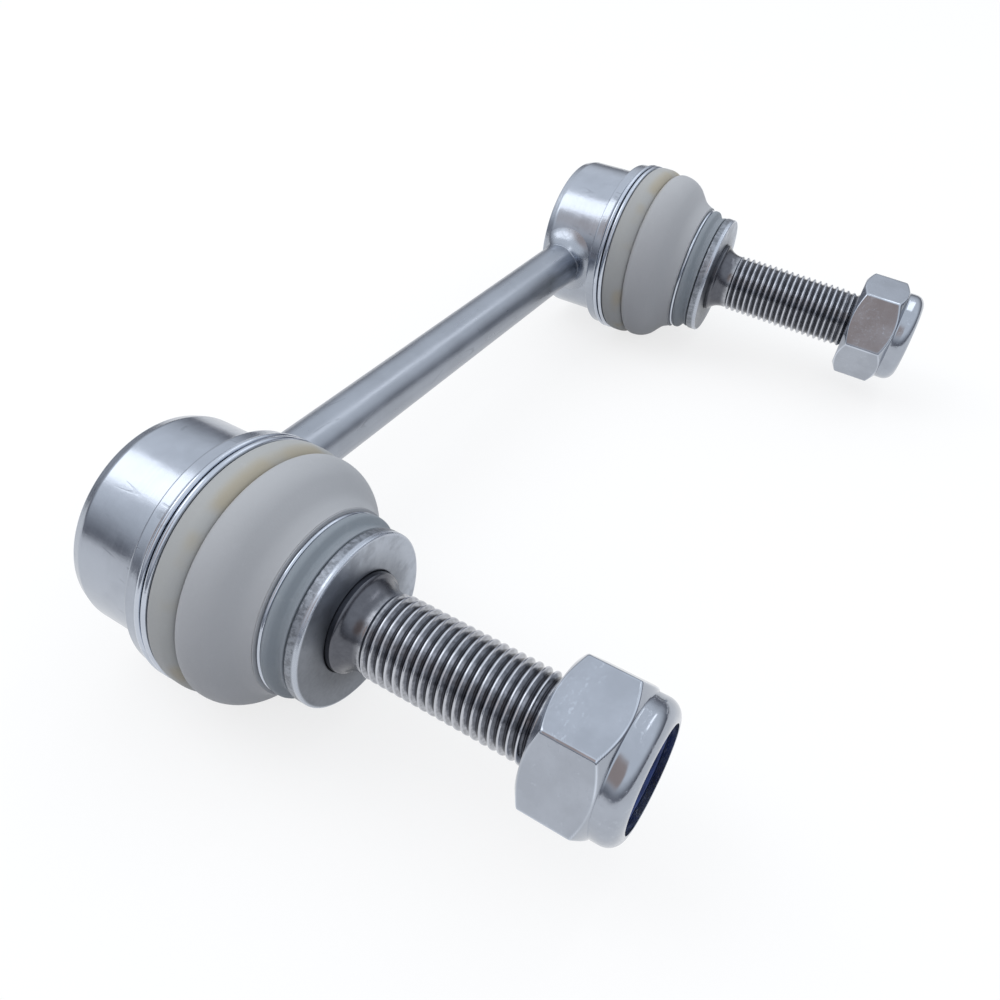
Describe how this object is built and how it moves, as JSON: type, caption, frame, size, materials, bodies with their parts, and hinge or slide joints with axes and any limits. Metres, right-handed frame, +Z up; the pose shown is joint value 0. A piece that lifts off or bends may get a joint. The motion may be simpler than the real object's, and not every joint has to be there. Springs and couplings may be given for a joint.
{
  "type": "stabilizer link",
  "caption": "Vehicle stabilizer link: a straight welded rod with a rubber-booted ball joint at each end, and on each a threaded stud with a seat washer and nylon-insert locknut.",
  "frame": {"origin": "on the table that the lying link touches with its clamp rings, under the middle of its box", "axes": "+X along the rod towards the far end, -Y along the near stud towards its tip, +Z up"},
  "size_m": [0.1619, 0.0791, 0.0369],
  "materials": {
    "zinc_rod": "bright zinc plated drawn bar, satin, with a cool blue cast",
    "weld": "smooth zinc plated weld fillet",
    "zinc_housing": "bright zinc plated turned steel with fine handling scratches",
    "zinc_plate": "zinc plated pressed sheet",
    "seat_plastic": "plain acetal",
    "ring_wire": "bright spring wire",
    "boot_rubber": "matte pale grey, slightly translucent elastomer",
    "stud_steel": "dark oiled phosphate with bright thread crests",
    "zinc_washer": "zinc plated punched steel with a grainy sheared rim",
    "nylon": "navy blue nylon",
    "zinc_nut": "bright zinc plated, with polished edges"
  },
  "bodies": {
    "link": {"rod": "zinc_rod", "near_weld": "weld", "far_weld": "weld", "near_housing": "zinc_housing", "far_housing": "zinc_housing", "near_closing_plate": "zinc_plate", "far_closing_plate": "zinc_plate", "near_ball_seat": "seat_plastic", "far_ball_seat": "seat_plastic", "near_boot_ring": "ring_wire", "far_boot_ring": "ring_wire"},
    "near_swivel": {"near_boot": "boot_rubber"},
    "near_tilt": {"near_neck_ring": "ring_wire"},
    "near_stud": {"near_ball_stud": "stud_steel", "near_washer": "zinc_washer"},
    "near_insert": {"near_nylon_insert": "nylon"},
    "near_locknut": {"near_nut": "zinc_nut"},
    "far_swivel": {"far_boot": "boot_rubber"},
    "far_tilt": {"far_neck_ring": "ring_wire"},
    "far_stud": {"far_ball_stud": "stud_steel", "far_washer": "zinc_washer"},
    "far_insert": {"far_nylon_insert": "nylon"},
    "far_locknut": {"far_nut": "zinc_nut"}
  },
  "joints": [
    {"name": "near_ball_swivel", "type": "hinge", "parent": "link", "child": "near_swivel", "pos_m": [-0.0625, 0.02882, 0.01845], "axis": [0, -1, 0], "continuous": true},
    {"name": "near_ball_tilt", "type": "hinge", "parent": "near_swivel", "child": "near_tilt", "pos_m": [-0.0625, 0.02882, 0.01845], "axis": [0, 0, 1], "range_deg": [-25, 25], "deforming": ["near_boot"]},
    {"name": "near_ball_spin", "type": "hinge", "parent": "near_tilt", "child": "near_stud", "pos_m": [-0.0625, 0.02882, 0.01845], "axis": [0, -1, 0], "continuous": true},
    {"name": "near_nut_travel", "type": "slide", "parent": "near_stud", "child": "near_insert", "axis": [0, -1, 0], "range_m": [-0.0226, 0.02135]},
    {"name": "near_nut_turn", "type": "hinge", "parent": "near_insert", "child": "near_locknut", "pos_m": [-0.0625, 0.02882, 0.01845], "axis": [0, -1, 0], "range_deg": [-6480, 6120]},
    {"name": "far_ball_swivel", "type": "hinge", "parent": "link", "child": "far_swivel", "pos_m": [0.0625, 0.02882, 0.01845], "axis": [0, -1, 0], "continuous": true},
    {"name": "far_ball_tilt", "type": "hinge", "parent": "far_swivel", "child": "far_tilt", "pos_m": [0.0625, 0.02882, 0.01845], "axis": [0, 0, 1], "range_deg": [-29.7, 19.6], "deforming": ["far_boot"]},
    {"name": "far_ball_spin", "type": "hinge", "parent": "far_tilt", "child": "far_stud", "pos_m": [0.0625, 0.02882, 0.01845], "axis": [0.0878, -0.9938, -0.0686], "continuous": true},
    {"name": "far_nut_travel", "type": "slide", "parent": "far_stud", "child": "far_insert", "axis": [0.0878, -0.9938, -0.0686], "range_m": [-0.02385, 0.0201]},
    {"name": "far_nut_turn", "type": "hinge", "parent": "far_insert", "child": "far_locknut", "pos_m": [0.0625, 0.02882, 0.01845], "axis": [0.0878, -0.9938, -0.0686], "range_deg": [-6840, 5760]}
  ],
  "couplings": [
    {"joint": "near_nut_travel", "follows": "near_nut_turn", "m_per_rad": 0.00019894},
    {"joint": "far_nut_travel", "follows": "far_nut_turn", "m_per_rad": 0.00019894}
  ]
}
